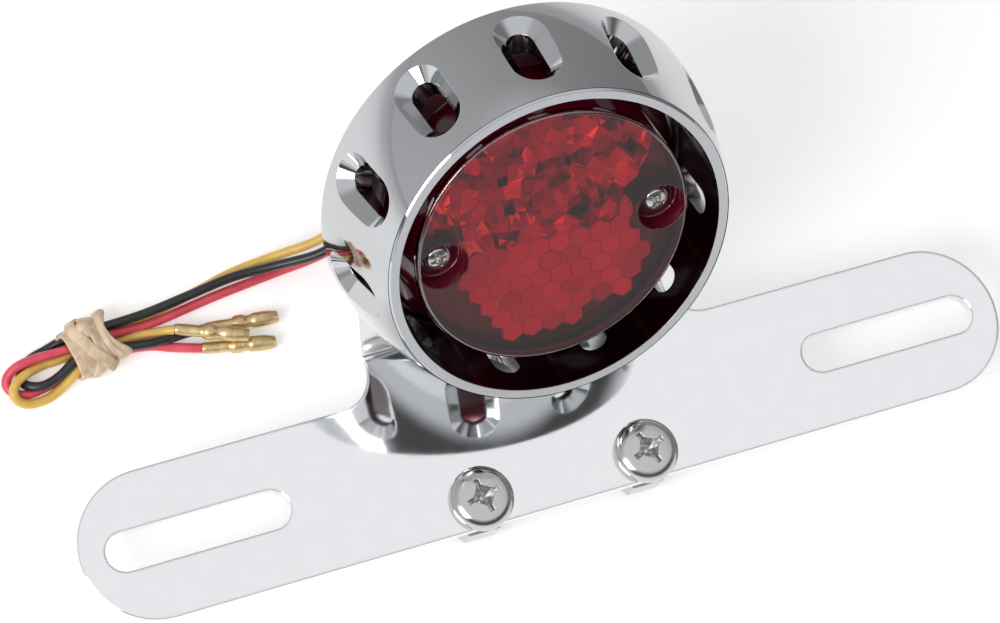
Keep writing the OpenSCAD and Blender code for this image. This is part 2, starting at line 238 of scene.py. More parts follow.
def capped(points, faces):
    """Closes both ends of a swept grid with quads that meet at the end's middle."""
    rows, columns, _ = points.shape
    flat = points.reshape(-1, 3)
    ends = np.vstack([points[0].mean(0), points[-1].mean(0)])
    k = np.arange(0, columns, 2)
    first = np.stack([0 * k + rows * columns, (k + 2) % columns, k + 1, k], -1)
    base = (rows - 1) * columns
    last = np.stack([0 * k + rows * columns + 1, base + k, base + k + 1, base + (k + 2) % columns], -1)
    return np.vstack([flat, ends]), np.vstack([faces, first, last])


# ---- Materials ----


class Shade:
    """One socket of a material. Arithmetic on it adds the Math nodes that do the sum."""

    def __init__(self, tree, socket=None):
        self.tree = tree
        self.socket = socket

    def make(self, kind, inputs=None, out=0, stops=None, **settings):
        """Any node: its settings come first, then a ramp's stops, then the values or links of its sockets."""
        node = self.tree.nodes.new(kind)
        for name, value in settings.items():
            setattr(node, name, value)
        if stops:
            ramp = node.color_ramp
            while len(ramp.elements) < len(stops):
                ramp.elements.new(1)
            for element, (position, colour) in zip(ramp.elements, stops):
                element.position = position
                element.color = (*colour, 1)
        for name, value in (inputs or {}).items():
            if isinstance(value, Shade):
                self.tree.links.new(value.socket, node.inputs[name])
            else:
                node.inputs[name].default_value = value
        return Shade(self.tree, node.outputs[out])

    def sum(self, operation, first, second):
        return self.make("ShaderNodeMath", {0: first, 1: second}, operation=operation)

    def __add__(self, other):
        return self.sum("ADD", self, other)

    __radd__ = __add__

    def __mul__(self, other):
        return self.sum("MULTIPLY", self, other)

    __rmul__ = __mul__

    def __sub__(self, other):
        return self.sum("SUBTRACT", self, other)

    def __rsub__(self, other):
        return self.sum("SUBTRACT", other, self)

    def ramp(self, low, high):
        """0 below low, 1 above high and smooth between."""
        span = {"Value": self, "From Min": low, "From Max": high}
        return self.make("ShaderNodeMapRange", span, interpolation_type="SMOOTHSTEP")

    def blend(self, first, second):
        """The colour first where this is 0 and second where it is 1."""
        first, second = (c if isinstance(c, Shade) else (*c, 1) for c in (first, second))
        return self.make("ShaderNodeMix", {0: self, 6: first, 7: second}, out=2, data_type="RGBA")


def material(name, build, **constants):
    """A Principled material. build(sheet) returns its varying inputs; constants are set on its sockets."""
    made = bpy.data.materials.new(name)
    made.use_nodes = True
    tree = made.node_tree
    shader = tree.nodes["Principled BSDF"]
    for socket, value in constants.items():
        shader.inputs[socket.replace("_", " ")].default_value = value
    for socket, value in build(Shade(tree)).items():
        tree.links.new(value.socket, shader.inputs[socket])
    return made


def place(sheet):
    """Object coordinates, in metres."""
    return sheet.make("ShaderNodeTexCoord", out=3)


def noise(sheet, scale, detail=3.0, rough=0.5):
    """Cloudy noise of that many cycles a metre, from 0 to 1."""
    cloud = {"Vector": place(sheet), "Scale": scale, "Detail": detail, "Roughness": rough}
    return sheet.make("ShaderNodeTexNoise", cloud)


def rough_skin(sheet, height, depth_mm, **under):
    """Normals for a height of that many millimetres, laid over any normals under it."""
    return sheet.make("ShaderNodeBump", {"Height": height, "Distance": depth_mm * MM, **under})


def rounded(sheet, radius_mm, height, depth_mm):
    """Normals that round off sharp edges, with a height laid over them."""
    normal = sheet.make("ShaderNodeBevel", {"Radius": radius_mm * MM}, samples=6)
    return rough_skin(sheet, height, depth_mm, Normal=normal)


def plated(colour, rough, edge_mm, wave_mm, haze):
    """Bright metal: a slow ripple left by polishing, cloudy haze, and fine rub marks."""

    def build(sheet):
        ripple = noise(sheet, 60, 2)
        cloud = noise(sheet, 220, 4, 0.6)
        rubs = noise(sheet, 5200, 2, 0.7)
        return {
            "Base Color": cloud.blend([c * 0.96 for c in colour], colour),
            "Roughness": cloud.ramp(0.35, 0.75) * haze + rubs * (haze * 0.6) + rough,
            "Normal": rounded(sheet, edge_mm, ripple + rubs * 0.02, wave_mm),
        }

    return build


def polished_with_shaded_inside(sheet):
    """Polished outside and in the bevels; the slots and the bore are rougher, and their colour is darkened as
    painted shade.
    """
    finish = plated((0.55, 0.56, 0.57), 0.05, 0.2, 0.003, 0.02)(sheet)
    inside = sheet.make("ShaderNodeAttribute", out=2, attribute_name="inside")
    # painted shade: the slots and the bore take a dark base colour
    finish["Base Color"] = inside.blend(finish["Base Color"], (0.16, 0.13, 0.14))
    finish["Roughness"] = finish["Roughness"] + inside * 0.06
    return finish


def moulded(colour, rough, grain_mm=0.02, scale=2500):
    """Moulded plastic or rubber: a fine grain, with dustier and shinier patches."""

    def build(sheet):
        grain = noise(sheet, scale, 3, 0.6)
        patch = noise(sheet, 150, 3)
        return {
            "Base Color": patch.blend(colour, [min(1, c * 1.35 + 0.004) for c in colour]),
            "Roughness": patch * 0.15 + rough,
            "Normal": rough_skin(sheet, grain, grain_mm),
        }

    return build


def sleeve(colour, dark):
    """PVC insulation: long streaks from the extruder and slight handling marks."""

    def build(sheet):
        streak = noise(sheet, 900, 3, 0.6)
        mark = noise(sheet, 260, 4, 0.6)
        return {
            "Base Color": mark.ramp(0.3, 0.75).blend(dark, colour),
            "Roughness": streak * 0.2 + 0.24,
            "Normal": rough_skin(sheet, streak, 0.02),
        }

    return build


def faceted(sheet):
    """Red reflex optics: each facet has its own tone, from near black through wine to bright red, and also
    gives off that tint as a painted glow.
    """
    tone = sheet.make("ShaderNodeAttribute", out=2, attribute_name="tone")
    fine = noise(sheet, 900, 3)
    tint = sheet.make(
        "ShaderNodeValToRGB",
        {0: tone + fine * 0.16 - 0.08},
        stops=[
            (0.0, (0.002, 0.0, 0.001)),
            (0.22, (0.07, 0.0, 0.018)),
            (0.45, (0.25, 0.008, 0.04)),
            (0.65, (0.42, 0.02, 0.05)),
            (0.85, (0.55, 0.05, 0.05)),
            (1.0, (0.8, 0.16, 0.07)),
        ],
    )
    return {"Base Color": tint, "Emission Color": tint, "Roughness": fine * 0.1 + 0.16}


def skinned(name, tint, ior):
    """A clear tinted skin: it takes the colour of what lies behind, and shines more at a low angle."""
    made = bpy.data.materials.new(name)
    made.use_nodes = True
    tree = made.node_tree
    sheet = Shade(tree)
    tree.nodes.remove(tree.nodes["Principled BSDF"])
    rough = noise(sheet, 700, 3) * 0.05 + 0.02
    mirror = {"Roughness": rough, "Metallic": 1.0, "Base Color": (1, 1, 1, 1)}
    gloss = sheet.make("ShaderNodeBsdfPrincipled", mirror)
    through = sheet.make("ShaderNodeBsdfTransparent", {"Color": (*tint, 1)})
    amount = sheet.make("ShaderNodeFresnel", {"IOR": ior})
    mixed = sheet.make("ShaderNodeMixShader", {0: amount, 1: through, 2: gloss})
    tree.links.new(mixed.socket, tree.nodes["Material Output"].inputs["Surface"])
    return made


def rubbery(sheet):
    """Natural rubber with a dusty bloom and a bump relief of folds. Its colour is painted shade of that
    relief:
    browner in the hollows and pinker on the crests.
    """
    fold_relief_and_shade = noise(sheet, 420, 3)
    bloom = noise(sheet, 2600, 3, 0.6)
    # painted shade: the colour follows the bump relief, darker brown in its hollows
    colour = fold_relief_and_shade.ramp(0.3, 0.65).blend((0.5, 0.34, 0.21), (0.72, 0.55, 0.38))
    return {
        "Base Color": (bloom * 0.3).blend(colour, (0.8, 0.66, 0.5)),
        "Roughness": bloom * 0.2 + 0.42,
        "Normal": rough_skin(sheet, bloom + fold_relief_and_shade * 2.0, 0.06),
    }


def brassy(sheet):
    """Rolled brass: golden, with duller brown patches and fine draw lines."""
    tarnish = noise(sheet, 520, 4, 0.6)
    lines = noise(sheet, 4200, 2)
    return {
        "Base Color": tarnish.ramp(0.3, 0.75).blend((0.6, 0.42, 0.2), (0.82, 0.66, 0.36)),
        "Roughness": tarnish * 0.25 + 0.26,
        "Normal": rounded(sheet, 0.12, lines, 0.01),
    }


CHROME = material("chrome", plated((0.93, 0.935, 0.945), 0.05, 0.95, 0.004, 0.03), Metallic=1.0)
POLISHED = material("polished_housing", polished_with_shaded_inside, Metallic=1.0)
STEEL = material("screw_steel", plated((0.6, 0.585, 0.58), 0.1, 0.12, 0.012, 0.1), Metallic=1.0)
RUBBER = material("black_rubber", moulded((0.012, 0.012, 0.013), 0.5))
PLASTIC = material("black_plastic", moulded((0.01, 0.01, 0.011), 0.35))
BOARD = material("board_green", moulded((0.01, 0.09, 0.03), 0.3, 0.01, 1800))
LED = material("led_red", moulded((0.5, 0.02, 0.02), 0.12, 0.005, 900), Coat_Weight=0.5)
RESISTOR = material("resistor_tan", moulded((0.45, 0.3, 0.15), 0.3, 0.02, 1500))
SOLDER = material("solder", plated((0.7, 0.7, 0.72), 0.2, 0.1, 0.03, 0.1), Metallic=1.0)
YELLOW = material("yellow_sleeve", sleeve((0.8, 0.53, 0.13), (0.68, 0.42, 0.09)), Specular_IOR_Level=0.5)
BLACK = material("black_sleeve", sleeve((0.02, 0.021, 0.023), (0.008, 0.008, 0.009)), Specular_IOR_Level=0.6)
RED = material("red_sleeve", sleeve((0.76, 0.1, 0.13), (0.64, 0.06, 0.09)), Specular_IOR_Level=0.5)
BRASS = material("brass", brassy, Metallic=1.0)
BAND = material("band_rubber", rubbery, Subsurface_Weight=0.05, Subsurface_Scale=0.001)
# painted glow: the facets emit their own tint
FACETS = material("red_facets", faceted, Metallic=0.5, Emission_Strength=0.42)
LENS_SKIN = skinned("clear_red_skin", (0.95, 0.32, 0.36), ior=1.49)
EDGE_SKIN = skinned("lens_edge_skin", (0.9, 0.3, 0.34), ior=2.6)
WINE = moulded((0.08, 0.0, 0.01), 0.08, 0.003, 500)
LENS_WINE = material("wine_red", WINE, Coat_Weight=0.5, Coat_Roughness=0.03)

FINISHES = {
    "bracket": CHROME,
    "mount_pad": RUBBER,
    "wire_grommet": RUBBER,
    "lens_gasket": RUBBER,
    "lamp_base": PLASTIC,
    "diode": PLASTIC,
    "circuit_board": BOARD,
    "leds": LED,
    "resistors": RESISTOR,
    "solder_joints": SOLDER,
    "lead_tails": BLACK,
    "board_screws": STEEL,
    "base_screws": STEEL,
    "base_washers": STEEL,
    "base_nuts": STEEL,
    "bracket_washers": STEEL,
    "bracket_lock_washers": STEEL,
    "bracket_nuts": STEEL,
}
for node, finish in FINISHES.items():
    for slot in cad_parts[node].material_slots:
        slot.material = finish


def add(piece, slot, *nodes):
    """Rides a new piece on the lamp and hides the CAD nodes it stands for. The slot is not used."""
    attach(piece, "root")
    if nodes:
        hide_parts(*nodes)
    return piece


# ---- Camera ----


def make_camera():
    """A long lens from above and to the left, with the lamp's face turned towards it."""
    right = np.array([0.92772, -0.31719, 0.19682])
    up = np.array([0.2573, 0.92534, 0.27846])
    back = np.cross(right, up)
    data = bpy.data.cameras.new("camera")
    data.sensor_width = 36
    data.lens = 157.04
    data.clip_start, data.clip_end = 0.05, 20
    camera = bpy.data.objects.new("camera", data)
    turn = np.eye(4)
    turn[:3, 0], turn[:3, 1], turn[:3, 2] = right, up, back
    turn[:3, 3] = np.array([-234.66, -153.02, 808.59]) * MM
    camera.matrix_world = Matrix(turn.tolist())
    bpy.context.scene.collection.objects.link(camera)
    bpy.context.scene.camera = camera


make_camera()

# ---- Leads ----

YELLOW_ROUTE = [
    (-2.3, 49.7, 25.7), (-2.7, 52.6, 23.4), (-6, 55.8, 18.6), (-11.5, 56.6, 12), (-18, 55, 5.5),
    (-24.8, 52.6, -0.5), (-31, 50.6, -5.2), (-40.3, 50.8, -9.8), (-48.5, 50.3, -11.6), (-57, 48.4, -11.7),
    (-66.8, 46.6, -11.7), (-75, 46, -10.9), (-80.2, 44.7, -10.9), (-85.7, 42.5, -10.9),
    (-90, 42.1, -11), (-93.7, 41.1, -10), (-96.2, 39.8, -9.7), (-97.4, 38, -9.8), (-96.8, 36.3, -10.6),
    (-94.6, 35.4, -11.5), (-91.3, 35.5, -11.7), (-88.2, 36.6, -11.3), (-85, 38.3, -10.1), (-81.3, 40.2, -9.4),
    (-77, 42.4, -10.7), (-70.5, 42.7, -11), (-66, 42.3, -10.6), (-62.9, 41.6, -9.4),
]
BLACK_ROUTE = [
    (0, 49.7, 25.7), (-0.3, 52.6, 23.4), (-3.4, 54.8, 18.4), (-9.2, 54.6, 12.2), (-16.5, 52.2, 7.2),
    (-24.4, 49.4, 1.8), (-31.9, 47.3, -2.6), (-40.6, 48.4, -7.6), (-49.2, 48.9, -9.6), (-58.5, 47.7, -9.8),
    (-67.4, 46.5, -9.7), (-75, 45.9, -8.9), (-84, 45.8, -10), (-88.5, 45, -11.4),
    (-92.2, 44, -11.7), (-94.5, 42.2, -11.7), (-94.9, 40.2, -11.7), (-93.8, 38.5, -10.3),
    (-91.2, 37.8, -9.6), (-87.7, 38.8, -9.4), (-84.5, 40.5, -8.5), (-80.4, 41.7, -7.5),
    (-75.3, 41, -8.8), (-70, 40.4, -9.6), (-65.4, 40.4, -10.4), (-60.8, 40.9, -11.7),
    (-56.6, 40.7, -11.4),
]
RED_ROUTE = [
    (2.3, 49.7, 25.7), (1.9, 52.4, 23.2), (-1.2, 53.4, 17.2), (-7.6, 52.2, 10.6), (-15.4, 50.2, 4),
    (-24, 48.8, -3.2), (-32, 48.2, -8.8), (-40.6, 47.9, -11.5), (-53, 46.6, -11.7),
    (-66.5, 44.7, -11.7), (-73, 44.2, -10.3), (-77.4, 43.9, -9), (-82, 43.5, -9), (-87, 43.3, -9.1),
    (-91.5, 43.3, -9.2), (-95.1, 42.9, -9.8), (-97.3, 41.8, -10.9), (-98, 40.1, -11.6), (-97, 38.4, -11.7),
    (-94.8, 37.4, -11.7), (-90, 38, -11.7), (-84.7, 39.5, -11.7), (-79.4, 39.7, -10.9),
    (-74.5, 40.7, -10.9), (-68.5, 40.3, -11.7), (-64.3, 38.8, -11.7), (-58.4, 36.9, -11.3),
]
BULLETS = {
    "yellow": ((-62.9, 41.6, -9.4), (-50, 36.6, -8.6)),
    "black": ((-56.6, 40.7, -11.4), (-42.6, 39.2, -11)),
    "red": ((-58.4, 36.9, -11.3), (-44.2, 34.3, -11.1)),
}


def bullet(name, start, toward):
    """Male bullet: a profile turned round its axis. The barrel is squeezed flat where it is crimped,
    and the tip is an open shell with a wall inside it."""
    start, toward = np.array(start), np.array(toward)
    axis = (toward - start) / np.linalg.norm(toward - start)
    profile = [(0.9, -0.6), (1.0, -0.5), (1.12, -0.2), (1.15, 0.3), (1.13, 2.0), (1.12, 4.4), (1.15, 5.0),
               (1.35, 5.25), (1.55, 5.6), (1.6, 6.2), (1.6, 7.0), (1.55, 7.3), (1.32, 7.6), (1.26, 8.0),
               (1.26, 8.6), (1.34, 8.9), (1.52, 9.2), (1.56, 9.7), (1.54, 11.4), (1.44, 12.6), (1.22, 14.0),
               (1.12, 14.2), (0.96, 14.15), (0.86, 13.7), (0.9, 12.4), (0.92, 11.5), (0.0, 11.4)]
    points, faces = revolve(profile, 48)
    h = points[..., 2]
    squeeze = np.exp(-((h - 2.6) / 1.1) ** 2)
    points[..., 0] *= 1 + 0.1 * squeeze
    points[..., 1] *= 1 - 0.22 * squeeze
    side = np.cross(axis, (0, 0, 1))
    side /= np.linalg.norm(side)
    placed = start + points @ np.array([side, np.cross(axis, side), axis])
    shell = mesh_object(name + "_bullet_shell", placed, faces, BRASS)
    return add(shell, "brass", name + "_bullet")


def lead(name, route, finish):
    """Insulated wire: a round tube along the smooth curve through its route."""
    path = smooth_route(route)
    piece = mesh_object(name + "_wire", *capped(*tube(path, LEAD_D, LEAD_D, 20)), finish)
    add(piece, name + "_sleeve", name + "_lead")
    return piece, path


bullet_pieces = {name: bullet(name, *ends) for name, ends in BULLETS.items()}

# Turns of the band: place along the bundle, sway once and twice a turn, phase, gap, width, thickness
BAND_TURNS = [
    (-4.0, 0.5, 0.2, 0.4, 0.05, 2.6, 0.9),
    (-2.3, -0.9, 0.2, 0.9, 0.2, 2.7, 0.9),
    (-0.6, 1.2, -0.3, 1.3, 0.12, 2.5, 1.0),
    (1.2, -0.7, 0.4, 0.2, 0.25, 2.8, 0.9),
    (3.0, 0.5, 1.0, 1.4, 0.1, 2.5, 1.0),
    (3.6, -0.4, 1.1, 1.6, 0.45, 2.3, 0.8),
    (-1.4, 2.5, 0.4, 0.3, 0.85, 2.3, 0.9),
    (0.6, -2.6, -0.4, 0.5, 1.2, 2.4, 0.9),
]
BAND_STEPS = 144
BAND_AT = (-80.1, 42.9, BENCH_Z + 3.6)
BAND_TURN = math.radians(16)
KNOT_ROWS = 33
KNOT_STEPS = 64
KNOT_AT = (-80.9, 45.6, BENCH_Z + 6.5)


def knotted_band():
    """Rubber band wound round the six strands, then doubled over itself. Each turn is a flat strand on a
    rounded box: along = start + sway sin(a + phase) + sway2 sin(2 a + phase), with cos a and sin a raised to
    the power 0.8 across and up. Yields each turn's number, points and faces."""
    a = np.linspace(0, TAU, BAND_STEPS + 1)
    cos, sin = np.cos(a), np.sin(a)
    for number, (start, sway, sway2, phase, gap, width, thickness) in enumerate(BAND_TURNS):
        across = np.sign(cos) * np.abs(cos) ** 0.8 * (4.6 + gap)
        up = np.sign(sin) * np.abs(sin) ** 0.8 * (2.5 + gap * 0.55)
        along = start + sway * np.sin(a + phase) + sway2 * np.sin(2 * a + phase)
        path = np.stack([along, across, up], -1)
        points, faces = tube(path, width, thickness, 16, first=(0, 1, 0.25), power=0.6)
        yield number, BAND_AT + points @ turn_about_z(BAND_TURN), faces


def knot():
    """The lump where the band's end is tucked under: an ellipsoid of radii 2.1, 1.7 and 1.1 mm, squashed
    by a crease across its top, where it shrinks by 0.22 exp(-(3 x - 0.6)^2)."""
    u = np.linspace(math.pi - 0.02, 0.02, KNOT_ROWS)[:, None]
    v = np.arange(KNOT_STEPS) * TAU / KNOT_STEPS
    ball = np.stack([np.cos(u) + 0 * v, np.sin(u) * np.cos(v), np.sin(u) * np.sin(v)], -1)
    ball = ball * (1 - 0.22 * np.exp(-(3 * ball[..., :1] - 0.6) ** 2) * (ball[..., 2:] > 0))
    return ball * [2.1, 1.7, 1.1] @ turn_about_z(math.radians(-62)), grid_faces(KNOT_ROWS, KNOT_STEPS)


band_pieces = []
for number, points, faces in knotted_band():
    strand = mesh_object("band_turn_%d" % number, points, faces, BAND)
    band_pieces.append(add(strand, "band_rubber", *(["rubber_band"] if number == 0 else [])))

lump, lump_faces = knot()
band_pieces.append(add(mesh_object("band_knot", lump + KNOT_AT, lump_faces, BAND), "band_rubber"))

LEADS = {"yellow": (YELLOW_ROUTE, YELLOW), "black": (BLACK_ROUTE, BLACK), "red": (RED_ROUTE, RED)}
for name, (route, finish) in LEADS.items():
    piece, path = lead(name, route, finish)
    length = float(np.linalg.norm(np.diff(path, axis=0), axis=1).sum())
    [c * MM for c in route[0]]
    [[c * MM for c in point] for point in path]
    [bullet_pieces[name]] + (band_pieces if name == "yellow" else [])

# ---- Housing ----

# Points round each window, rows of its grid that lie in the cavity, and rows that are rougher and darkened
# with painted shade
COLUMNS = 120
CAVITY_ROWS = 8
DULL_SHADED_ROWS = CAVITY_ROWS + 1


def crown_r(h):
    """Outer radius at height h: rim + (back - rim)(1 - left^2), with left the share of the height left."""
    left = 1 - np.clip((LAMP_H - h) / (LAMP_H - BASE_H), 0, 1)
    return RIM_R + (HOUSING_R - RIM_R) * (1 - left ** 2)


def root(function, low, high):
    """Where a rising function crosses zero in each column, by halving the interval 40 times."""
    low, high = low + np.zeros(COLUMNS), high + np.zeros(COLUMNS)
    for _ in range(40):
        middle = (low + high) / 2
        above = function(middle) > 0
        low, high = np.where(above, low, middle), np.where(above, middle, high)
    return (low + high) / 2


def window_outline():
    """One loop round a window: the slot's direction (across, up) and the place on its middle line, with
    the matching place on the edge of the window's share of the wall, each from -1 to 1. A quarter runs up
    the straight side, then round the end; its share runs up the side, then along the top."""
    t = np.linspace(0, 1, COLUMNS // 4 + 1)
    turn = np.maximum(t - 0.4, 0) / 0.6 * math.pi / 2
    straight = np.minimum(t / 0.4, 1)
    share_x = np.minimum((1 - t) / 0.4, 1)
    share_z = np.minimum(t / 0.6, 1)
    quarter = np.stack([np.cos(turn), np.sin(turn), straight, share_x, share_z])
    loop = []
    for x, z in ((1, 1), (-1, 1), (-1, -1), (1, -1)):
        order = slice(0, -1) if x * z > 0 else slice(None, 0, -1)
        loop.append(quarter[:, order] * np.array([x, z, z, x, z])[:, None])
    return np.concatenate(loop, 1)


def housing_wall():
    """Wall with bevelled windows. Each loop of a window's grid is one closed curve, and the loops go
    from the edge of its share of the inside, in to the slot, out through the wall, up the bevel to the
    mouth, and across the outside to the edge of its share. The bevel is a 45 degree cone about the slot's
    middle line, tipped by the lean; the mouth is where it reaches the outer radius."""
    across, up, core, share_x, share_z = window_outline()
    middle = core * SLOT_HALF
    start = crown_r(WINDOW_H) - MOUTH_BEVEL

    def bevel(d):
        """Point at depth d along the cone's ruling in each column: (out, across, height)."""
        z = middle + (SLOT_R + d) * up
        return (
            start + d * math.cos(WINDOW_LEAN) - z * math.sin(WINDOW_LEAN),
            (SLOT_R + d) * across,
            WINDOW_H + d * math.sin(WINDOW_LEAN) + z * math.cos(WINDOW_LEAN),
        )

    def outside(d):
        x, y, h = bevel(d)
        return np.hypot(x, y) - crown_r(h)

    def off_slot(d):
        _, y, h = bevel(d)
        rise = h - WINDOW_H
        return np.hypot(y, rise - np.clip(rise, -SLOT_HALF, SLOT_HALF)) - SLOT_R

    mouth = bevel(root(outside, 0, 8))
    throat = bevel(root(off_slot, -1.5, 4))
    inner = (np.sqrt(CAVITY_R ** 2 - throat[1] ** 2), throat[1], throat[2])

    def share(top, bottom):
        """Edge of the window's share as (angle, height), between those two heights."""
        reach = np.where(share_z > 0, top - WINDOW_H, WINDOW_H - bottom)
        return share_x * math.pi / WINDOWS, WINDOW_H + share_z * reach

    def across_wall(edge, goal, rows, radius):
        """Blend in (angle, height) from an outline to the edge of the share, laid on that radius."""
        t = np.linspace(0, 1, rows)[:, None]
        angle = np.arctan2(edge[1], edge[0]) * (1 - t) + goal[0] * t
        h = edge[2] * (1 - t) + goal[1] * t
        return np.stack([radius(h) * np.cos(angle), radius(h) * np.sin(angle), h], -1)

    def straight(first, last, rows):
        t = np.linspace(0, 1, rows)[:, None, None]
        return np.stack(first, -1) * (1 - t) + np.stack(last, -1) * t

    loops = np.concatenate([
        across_wall(inner, share(LAMP_H, LIP_H), CAVITY_ROWS, lambda h: CAVITY_R + 0 * h)[::-1],
        straight(inner, throat, 3)[1:],
        straight(throat, mouth, 8)[1:],
        across_wall(mouth, share(LAMP_H - RIM_BEVEL, BASE_H + BACK_BEVEL), 16, crown_r)[1:],
    ])
    row = np.arange(len(loops))
    inside = np.repeat((row > 0) & (row < DULL_SHADED_ROWS), COLUMNS)
    faces = grid_faces(len(loops), COLUMNS)
    for k in range(WINDOWS):
        yield loops @ turn_about_z(TAU * k / WINDOWS + math.pi / 2), faces, inside


def housing():
    """The wall with its windows, a flat rim with a small bevel, and the back edge with its inner lip. The
    rings have the 24 points to a window that the wall's edges have."""
    steps = 24 * WINDOWS
    rim = [(RIM_R, LAMP_H - RIM_BEVEL), (RIM_R - RIM_BEVEL, LAMP_H), (CAVITY_R, LAMP_H)]
    back = [(float(crown_r(BASE_H + BACK_BEVEL)), BASE_H + BACK_BEVEL), (HOUSING_R - BACK_BEVEL, BASE_H),
            (LIP_R, BASE_H), (LIP_R, LIP_H), (CAVITY_R, LIP_H)]
    parts = list(housing_wall())
    for profile in (rim, back):
        points, faces = revolve(profile, steps)
        parts.append((points[..., [1, 0, 2]] * [-1, 1, 1], faces, np.zeros(points.size // 3)))
    placed = [(on_lamp(points.reshape(-1, 3)), faces) for points, faces, _ in parts]
    inside = np.concatenate([part[2] for part in parts])
    return closed_shell("housing_shell", placed, POLISHED, inside=inside)


add(housing(), "chrome", "housing")

# ---- Lens ----

# How far the optics reach from the lens's middle, by angle in degrees
OPTICS_REACH = [(-180, 20), (-160, 19.6), (-135, 19.8), (-114, 22.5), (-90, 21.5), (-68, 21.5), (-40, 22.8),
                (-17, 20.2), (14, 16.4), (23, 19.4), (29, 22), (32, 26.4), (165, 26.6), (180, 20)]
# A cell counts while its middle is less than this past the reach, and within OPTICS_R
CELL_OVERHANG = 1.3
OPTICS_R = 27
CELL_PITCH = 4.15
# Middles of the few stones that look straight through to the dark board
DARK_STONES = [(-8, 13), (3.7, 15), (-9.5, 7.3), (4.6, 2.7), (18, 13)]
DARK_STONE_R = 2.1


def hexagon_cells(pitch, reach):
    """Centres of a honeycomb with that pitch between neighbours, within a circle of that reach."""
    i, j = np.meshgrid(np.arange(-20, 21), np.arange(-20, 21))
    centres = np.stack([(i + 0.5 * (j % 2)) * pitch, j * pitch * math.sqrt(3) / 2], -1).reshape(-1, 2)
    return centres[np.hypot(*centres.T) < reach]


def clear_of_wells(places, gap):
    """Which places are more than the gap outside both screw wells."""
    away = [np.hypot(places[:, 0] - side * WELL_X, places[:, 1]) for side in (-1, 1)]
    return np.min(away, 0) > WELL_R + gap


def kept_clear(points):
    """Points moved out of the screw wells and in from the lens's side, along their own radius."""
    for side in (-1, 1):
        middle = np.array([side * WELL_X, 0])
        away = np.hypot(*np.moveaxis(points - middle, -1, 0))[..., None]
        points = middle + (points - middle) * np.maximum((WELL_R + 0.25) / np.maximum(away, 0.01), 1)
    out = np.hypot(points[..., 0], points[..., 1])[..., None]
    return points / np.maximum(out / (LENS_R - 0.7), 1)


def optic_cells():
    """Middles of the cells behind the lens's face, and which of them are the upper, cut ones."""
    centres = hexagon_cells(CELL_PITCH, LENS_R)
    angle = np.degrees(np.arctan2(centres[:, 1], centres[:, 0]))
    reach = np.minimum(np.interp(angle, *np.array(OPTICS_REACH).T) + CELL_OVERHANG, OPTICS_R)
    centres = centres[(np.hypot(*centres.T) < reach) & clear_of_wells(centres, 0.2)]
    return centres, centres[:, 1] > -0.6 + 0.045 * centres[:, 0]


def optic_points(rng, centres, upper):
    """Thirteen points a cell: six corners, six round its table, and the table's middle. The lower cells
    are regular buttons. The upper ones are cut stones: corners moved about, and a small tilted table off
    centre. Neighbours share corners, because a corner's shift comes from its place."""
    count = len(centres)
    angle = np.arange(6) * TAU / 6 + TAU / 12
    corner_r = CELL_PITCH / math.sqrt(3)
    rim = centres[:, None] + corner_r * np.stack([np.cos(angle), np.sin(angle)], -1)
    x, y = rim[..., 0], rim[..., 1]
    wave = np.stack([np.sin(y * 2.3 + x * 1.1), np.cos(x * 2.9 - y * 1.7)], -1)
    rim = kept_clear(rim + np.clip((rim[..., 1:] + 1.5) / 2, 0, 1) * 0.85 * wave)
    low = LENS_TOP - FACE_T - np.where(upper, 0.9, 0.45)[:, None]
    rim_h = low + np.where(upper, 0.55, 0.0)[:, None] * np.sin(rim[..., 0] * 3.1 + rim[..., 1] * 4.3)
    shrink = np.where(upper, rng.uniform(0.45, 0.8, count), 0.9)
    inner = centres[:, None] + (rim - centres[:, None]) * shrink[:, None, None]
    shift = np.where(upper, 0.45, 0.0)[:, None, None] * rng.uniform(-1, 1, (count, 1, 2))
    inner = kept_clear(inner + shift)
    lean = rng.uniform(-1, 1, (count, 2)) * np.where(upper, 0.34, 0.05)[:, None]
    rise = np.where(upper, rng.uniform(0.2, 1.5, count), 0.5)
    inner_h = low + rise[:, None] + ((inner - centres[:, None]) * lean[:, None]).sum(-1)
    return np.concatenate([
        np.concatenate([rim, rim_h[..., None]], -1),
        np.concatenate([inner, inner_h[..., None]], -1),
        np.concatenate([inner.mean(1), inner_h.mean(1)[:, None]], -1)[:, None],
    ], 1)


